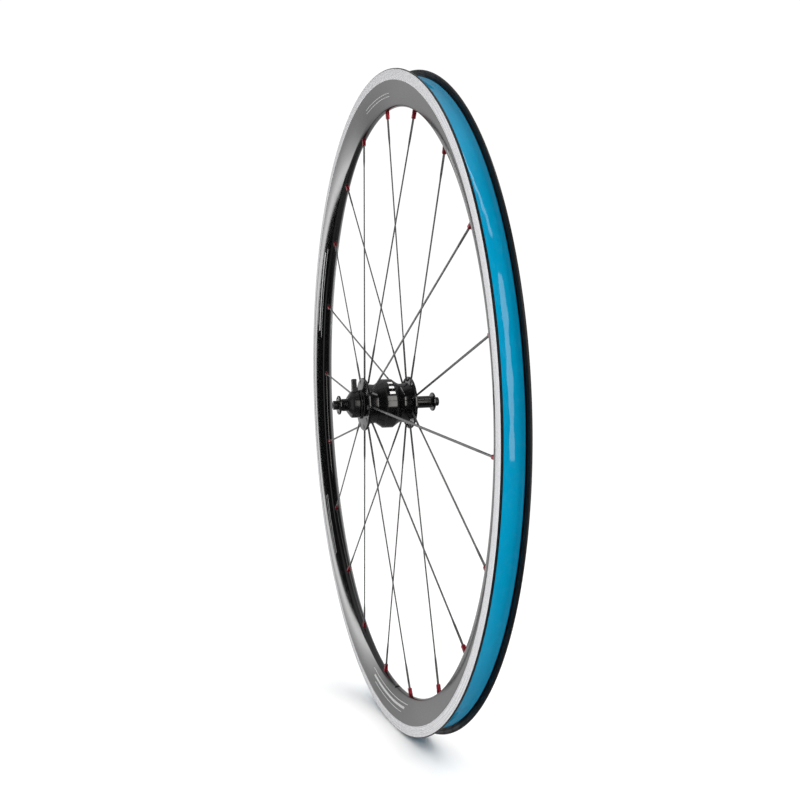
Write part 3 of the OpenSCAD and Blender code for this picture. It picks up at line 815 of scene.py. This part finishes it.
def hub_half(node, name, side):
    """One end of the hub with its drilled and spot-faced spoke holes."""
    section, starts = split_faces(rounded(hub_section(node)))
    count, steps = len(section), 180
    first = FIRST_SPOKE if side == "right" else FIRST_SPOKE + SPOKE_STEP
    verts, faces = spin(section, steps, first)
    holes = len(SPOKES) // 2
    places = [h * steps // holes for h in range(holes)]

    def window(at, face):
        return at - 4, at + 4, starts[face], starts[face] + ROW_SPLITS

    gone = set()
    for at in places:
        for face in starts:
            gone |= window_faces(window(at, face), steps, count)
    faces = [f for n, f in enumerate(faces) if n not in gone]
    for at in places:
        out, across = directions(first, at, steps)
        middle = out * HOLE_RING_R
        mouths = {}
        for face, radius in HOLE_R.items():
            r0, y0 = section[starts[face]]
            r1, y1 = section[starts[face] + ROW_SPLITS]

            def flat(v):
                p = Vector(v) - middle
                return (p.dot(out), p.dot(across))

            def lift(p):
                q = middle + out * p.x + across * p.y
                r = math.hypot(q.x, q.z)
                return Vector((q.x, y0 + (y1 - y0) * (r - r0) / (r1 - r0), q.z))

            loop = window_loop(window(at, face), steps, count)
            mouths[face] = hole_mouth(verts, faces, loop, flat, lift, radius)

        def level(p, radius):
            q = middle + out * p.x * radius + across * p.y * radius
            return Vector((q.x, FLANGE_OUT_Y, q.z))

        outer, mouth = mouths["outer"]
        unit = [p.normalized() for p in mouth]
        seat = add_ring(verts, [level(p, HOLE_R["outer"]) for p in unit])
        bore = add_ring(verts, [level(p, HOLE_R["inner"]) for p in unit])
        join_rings(faces, outer, seat)
        join_rings(faces, seat, bore)
        bridge(verts, faces, bore, mouths["inner"][0])
    if side == "left":
        verts = flipped(verts)
    piece = add_piece(name, verts, faces, "hub_black", "wheel", crease=34)
    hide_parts(node)


def barrel_marks():
    """Three plain bars printed on the barrel, a hair proud of it."""
    half_a, steps, rows = 3.3, 10, 4
    row = rows + 1
    layer = (steps + 1) * row
    border = [i * row for i in range(steps)] + [steps * row + k for k in range(rows)]
    border += [i * row + rows for i in range(steps, 0, -1)] + list(range(rows, 0, -1))
    parts = []
    for middle, wide in ((53, 4.8), (37, 5.2), (22, 5.6)):
        verts, faces = [], []
        for r in (BARREL_R - 0.03, BARREL_R + 0.03):
            for i in range(steps + 1):
                a = math.radians(middle - half_a + 2 * half_a * i / steps)
                for k in range(row):
                    y = 0.6 - wide / 2 + wide * k / rows
                    verts.append((r * math.cos(a), y, r * math.sin(a)))
        for i in range(steps):
            for k in range(rows):
                n = i * row + k
                quad = (n, n + row, n + row + 1, n + 1)
                faces.append(quad)
                faces.append(tuple(layer + m for m in reversed(quad)))
        for n, v in enumerate(border):
            w = border[(n + 1) % len(border)]
            faces.append((v, w, layer + w, layer + v))
        parts.append((verts, faces))
    verts, faces = merge(parts)
    add_piece("barrel_bars", verts, faces, "print", "wheel")


# ---------------------------------------------------------------- axle, nuts and connector

def turned_piece(name, node, corners, material, body, steps, side="right", shift=None):
    """A piece turned from an outline that is drawn for the right side."""
    verts, faces = spin(rounded(corners), steps, 0, shift)
    if side == "left":
        verts = flipped(verts)
    piece = add_piece(name, verts, faces, material, body)
    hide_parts(node)


def axle():
    """The hollow axle, with 9 mm ends and the collar that the stator stands against."""
    tip, stop = TIP_Y, STOP_Y
    corners = [(2.6, -tip, 0.15), (4.1, -tip, 0.15), (4.5, -tip + 0.4, 0.2),
               (4.5, -stop - 0.9, 0.1), (4.3, -stop - 0.6, 0.05), (4.3, -stop, 0), (5, -stop, 0),
               (5, -29.6, 0), (6, -29.6, 0), (6, -12, 0), (8, -12, 0.2), (8, -6.2, 0),
               (6, -6.2, 0), (6, 29.6, 0), (5, 29.6, 0), (5, stop, 0), (4.3, stop, 0),
               (4.3, stop + 0.6, 0.05), (4.5, stop + 0.9, 0.1), (4.5, tip - 0.4, 0.2),
               (4.1, tip, 0.15), (2.6, tip, 0.15)]
    turned_piece("axle_shaft", "axle", corners, "axle_black", "axle_assembly", 96)


def locknut(side):
    """A round nut with a grooved clamping face and a bevelled rim."""
    r, stop = span("left_locknut")[1].x, STOP_Y
    corners = [(5, stop - 3.5, 0), (5.5, stop - 3.5, 0.15), (5.7, stop - 2, 0.3),
               (r - 0.35, stop - 2, 0.2), (r, stop - 1.65, 0.2), (r, stop - 0.35, 0.2),
               (r - 0.35, stop, 0.15), (r - 0.9, stop, 0), (r - 1.2, stop, 0),
               (6.6, stop, 0), (6.2, stop, 0), (5, stop, 0)]
    grooved = [k for k, (row_r, y) in enumerate(rounded(corners))
               if abs(y - stop) < 1e-6 and 6.5 < row_r < r - 1.1]

    def grooves(i, k, row_r, y):
        if k in grooved:
            y -= 0.22 * (i % 4 >= 2)
        return row_r, y

    turned_piece(side + "_round_nut", side + "_locknut", corners, "hub_black",
                 "axle_assembly", 192, side, grooves)


def spacer(side):
    """The tube between a bearing and its locknut."""
    corners = [(6, 27.6, 0), (6.3, 27.6, 0.1), (6.1, 27.85, 0.1), (6.1, 45.8, 0.3),
               (5.5, 46.5, 0.1), (5, 46.5, 0), (5, 29.6, 0), (6, 29.6, 0)]
    turned_piece(side + "_tube_spacer", side + "_spacer", corners, "hub_black",
                 "axle_assembly", 96, side)


def dust_seal(side):
    """A rubber ring in the end of the boss, with a raised outer edge and inner lip."""
    low = BOSS_Y - 1.3
    corners = [(6.5, low + 0.2, 0.1), (6.9, low, 0.2), (12, low, 0), (12, low + 1.0, 0.2),
               (11.2, low + 1.0, 0.15), (10.8, low + 0.75, 0.2), (8.2, low + 0.75, 0.2),
               (7.8, low + 1.0, 0.15), (6.9, low + 1.0, 0.1), (6.5, low + 0.7, 0.1)]
    turned_piece(side + "_lip_seal", side + "_dust_seal", corners, "seal_rubber",
                 "wheel", 96, side)


def cover():
    """The conical cap beside the left flange, which carries the connector."""
    corners = [(11.6, 30, 0.1), (12.8, 30, 0.2), (13.2, 30.4, 0.3), (13.2, 36.2, 0.8),
               (12.3, 37.2, 0.5), (7.4, 40.9, 0.4), (6.1, 41, 0.1), (6.1, 38.5, 0),
               (8.2, 38.5, 0), (11.6, 36.2, 0)]
    turned_piece("cone_cover", "connector_cover", corners, "gloss_plastic",
                 "axle_assembly", 128, "left")


def block(name, node, outline, levels, material):
    """An upright body: outline points (x, y) scaled in at its ends by levels (z, inset)."""
    cx = sum(p[0] for p in outline) / len(outline)
    cy = sum(p[1] for p in outline) / len(outline)
    hx = max(p[0] for p in outline) - cx
    hy = max(p[1] for p in outline) - cy
    verts = []
    for z, inset in levels:
        for x, y in outline:
            verts.append((cx + (x - cx) * (1 - inset / hx), cy + (y - cy) * (1 - inset / hy), z))
    faces = sleeve(len(outline), len(levels))
    piece = add_piece(name, verts, faces, material, "axle_assembly", crease=28)
    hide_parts(node)


def connector():
    """The socket block that stands on the cover, and the ribbed plug cap above it."""
    for name, node, soft, ribs in (("socket_block", "connector_housing", 0.8, 0),
                                   ("plug_cap", "connector_cap", 0.6, 3)):
        low, high = span(node)
        outline = rounded([(low.x, low.y, soft), (high.x, low.y, soft),
                           (high.x, high.y, soft), (low.x, high.y, soft)], 5)
        levels = [(low.z, 0.1), (low.z + 0.15, 0)]
        for rib in range(ribs):
            z = low.z + (high.z - low.z) * (0.42 + 0.14 * rib)
            levels += [(z - 0.25, 0), (z - 0.12, 0.22), (z + 0.12, 0.22), (z + 0.25, 0)]
        levels += [(high.z - 0.5, 0), (high.z - 0.15, 0.12), (high.z, 0.45)]
        block(name, node, outline, levels, "plug_plastic")


# ---------------------------------------------------------------- carried-over CAD pieces

CAD_LOOKS = {
    "terminal_pins": "brass", "coil_leads": "lead", "left_inner_race": "steel",
    "right_inner_race": "steel", "left_outer_race": "steel", "right_outer_race": "steel",
    "left_claw_plate": "iron", "right_claw_plate": "iron", "stator_core": "iron",
    "coil_bobbin": "bobbin", "coil_winding": "copper", "stator_nut": "alloy",
    "rim_sleeve": "alloy", "magnets": "magnet", "flux_ring": "iron",
    "left_ball_cage": "brass", "right_ball_cage": "brass", "left_balls": "steel",
    "right_balls": "steel",
}


def dress_cad():
    """The hidden pieces keep their CAD shape and get real finishes."""
    for name, look in CAD_LOOKS.items():
        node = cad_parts[name]
        node.data.materials.clear()
        node.data.materials.append(MATERIALS[look])


# ---------------------------------------------------------------- studio

def camera():
    """The photograph's view: azimuth, height and tilt, aimed a little off the hub."""
    azimuth, elevation, tilt = (math.radians(a) for a in (73.226, -3.068, -3.064))
    back = Vector((math.sin(azimuth) * math.cos(elevation),
                   -math.cos(azimuth) * math.cos(elevation), math.sin(elevation)))
    right = Vector((0, 0, 1)).cross(back).normalized()
    up = back.cross(right)
    right, up = (math.cos(tilt) * right + math.sin(tilt) * up,
                 math.cos(tilt) * up - math.sin(tilt) * right)
    data = bpy.data.cameras.new("camera")
    data.lens, data.sensor_width = 39.77, 36
    data.clip_start, data.clip_end = 0.01, 50
    cam = bpy.data.objects.new("camera", data)
    distance, aside, above = 0.89185, 0.013734, 0.003402
    place = back * distance + right * aside + up * above
    cam.matrix_world = Matrix.Translation(place) @ Matrix((right, up, back)).transposed().to_4x4()
    bpy.context.scene.collection.objects.link(cam)
    bpy.context.scene.camera = cam


def softbox(name, azimuth, height, distance, wide, tall, radiance, gloss=True, color=(1, 1, 1)):
    """A panel light aimed at the hub, in metres. Azimuth is the angle from +X in plan.

    Without gloss it only lights colours, and doesn't show as a reflection.
    """
    a = math.radians(azimuth)
    data = bpy.data.lights.new(name, "AREA")
    data.shape = "RECTANGLE"
    data.size, data.size_y = wide, tall
    data.energy = radiance * math.pi * wide * tall
    data.color = color
    lamp = bpy.data.objects.new(name, data)
    lamp.location = (distance * math.cos(a), distance * math.sin(a), height)
    lamp.rotation_mode = "QUATERNION"
    lamp.rotation_quaternion = Vector(lamp.location).to_track_quat("Z", "Y")
    lamp.visible_camera = False
    lamp.visible_glossy = gloss
    bpy.context.scene.collection.objects.link(lamp)


# The backdrop's brightness along the horizon, by degrees from -X towards -Y.
BACKDROP = ((-90, 0.03), (-80, 0.03), (-70, 0.0), (-60, 0.07), (-20, 0.10), (0, 0.12), (8, 0.16),
            (13, 0.19), (18, 0.19), (25, 0.19), (29, 0.26), (34, 0.52), (38, 0.95), (42, 0.95),
            (43.2, 0.0), (74, 0.0), (82, 0.12), (90, 0.12))


def surroundings():
    """The room: a bright backdrop behind the wheel, a dim ceiling and a dark front."""
    world = bpy.data.worlds.new("studio")
    bpy.context.scene.world = world
    world.use_nodes = True
    world.node_tree.nodes.clear()
    w = Tree(world.node_tree)

    def fade(value, start, end, low, high):
        return w.ramp(value, low, high, start, end, "SMOOTHSTEP")

    split = w.add("ShaderNodeSeparateXYZ")
    w.link(w.add("ShaderNodeTexCoord").outputs["Generated"], split.inputs[0])
    x, y, z = split.outputs
    around = w.math("ARCTAN2", w.math("MULTIPLY", y, -1.0), w.math("MULTIPLY", x, -1.0))
    panels = w.add("ShaderNodeValToRGB")
    w.link(w.math("ADD", w.math("DIVIDE", around, math.pi), 0.5), panels.inputs["Fac"])
    stops = panels.color_ramp.elements
    for n, (angle, level) in enumerate(BACKDROP):
        stop = stops[n] if n < 2 else stops.new(1.0)
        stop.position = 0.5 + angle / 180
        stop.color = (level, level, level, 1)

    gain, least, seen_level = 4.0, 0.012, 1.05
    slope = w.math("ABSOLUTE", z)
    backdrop = w.math("MULTIPLY", panels.outputs["Color"], fade(slope, 0.35, 0.6, gain, 0.0))
    backdrop = w.math("MULTIPLY", backdrop, fade(x, 0.1, 0.45, 1.0, 0.0))
    dome = w.math("MULTIPLY", fade(slope, 0.3, 0.7, 0.0, 0.3), fade(x, -0.1, 0.5, 1.0, 0.0))
    dome = w.math("MULTIPLY", dome, fade(z, -0.01, 0.01, 0.5, 1.0))
    light = w.math("ADD", w.math("MAXIMUM", backdrop, dome), least)
    seen = w.add("ShaderNodeMix", data_type="FLOAT")
    w.link(w.add("ShaderNodeLightPath").outputs["Is Camera Ray"], seen.inputs["Factor"])
    w.link(light, seen.inputs["A"])
    seen.inputs["B"].default_value = seen_level
    shade = w.add("ShaderNodeBackground")
    shade.inputs["Color"].default_value = (1, 1, 1, 1)
    w.link(seen.outputs["Result"], shade.inputs["Strength"])
    w.link(shade.outputs[0], w.add("ShaderNodeOutputWorld").inputs["Surface"])


def floor():
    """A wide pale floor just under the wheel, which isn't mirrored in it."""
    n = Nodes("floor_paint")
    tint = n.mix(n.ramp(n.noise(6, 4), 0, 1), (0.90, 0.90, 0.90), (0.88, 0.88, 0.88))
    paint = n.finish(tint, n.ramp(n.noise(30, 3), 0.6, 0.75), n.bump(n.noise(400, 3), 0.05),
                     specular_ior_level=0.2)
    level = cad_box[0].z - 0.0002
    reach, rings, sides = 8.0, 6, 64
    verts = [(0, 0, level)]
    for ring in range(1, rings + 1):
        d = reach * ring / rings
        for s in range(sides):
            a = TURN * s / sides
            verts.append((d * math.cos(a), d * math.sin(a), level))
    faces = [(0, 1 + s, 1 + (s + 1) % sides) for s in range(sides)]
    for ring in range(rings - 1):
        base = 1 + ring * sides
        for s in range(sides):
            m = (s + 1) % sides
            faces.append((base + s, base + sides + s, base + sides + m, base + m))
    mesh = bpy.data.meshes.new("floor")
    mesh.from_pydata(verts, [], faces)
    mesh.materials.append(paint)
    ground = bpy.data.objects.new("floor", mesh)
    bpy.context.scene.collection.objects.link(ground)
    ground.visible_glossy = False


def lights():
    """Two panels that show in the gloss, two that only fill, and an even light from above."""
    softbox("front_panel", 17.4, 0.10, 1.0, 0.24, 0.9, 2.8, color=(1.0, 0.97, 0.93))
    softbox("top_strip", 79.2, 1.6, 1.07, 2.6, 0.15, 2.5)
    softbox("side_fill", 35, 0.5, 2.2, 1.6, 1.6, 3.2, gloss=False)
    softbox("near_fill", -60, 0.6, 2.2, 1.4, 1.4, 1.5, gloss=False)
    data = bpy.data.lights.new("ceiling_fill", "SUN")
    data.energy = 3.2
    data.angle = math.radians(120)
    lamp = bpy.data.objects.new("ceiling_fill", data)
    lamp.visible_glossy = False
    bpy.context.scene.collection.objects.link(lamp)


bpy.context.scene.view_settings.view_transform = "Standard"
camera()
rim()
side_stripes()
tape()
spokes()
nipples()
hub_half("hub_shell", "barrel_and_right_flange", "right")
hub_half("hub_end_flange", "left_flange", "left")
barrel_marks()
axle()
for end in ("left", "right"):
    locknut(end)
    spacer(end)
    dust_seal(end)
cover()
connector()
dress_cad()
surroundings()
floor()
lights()
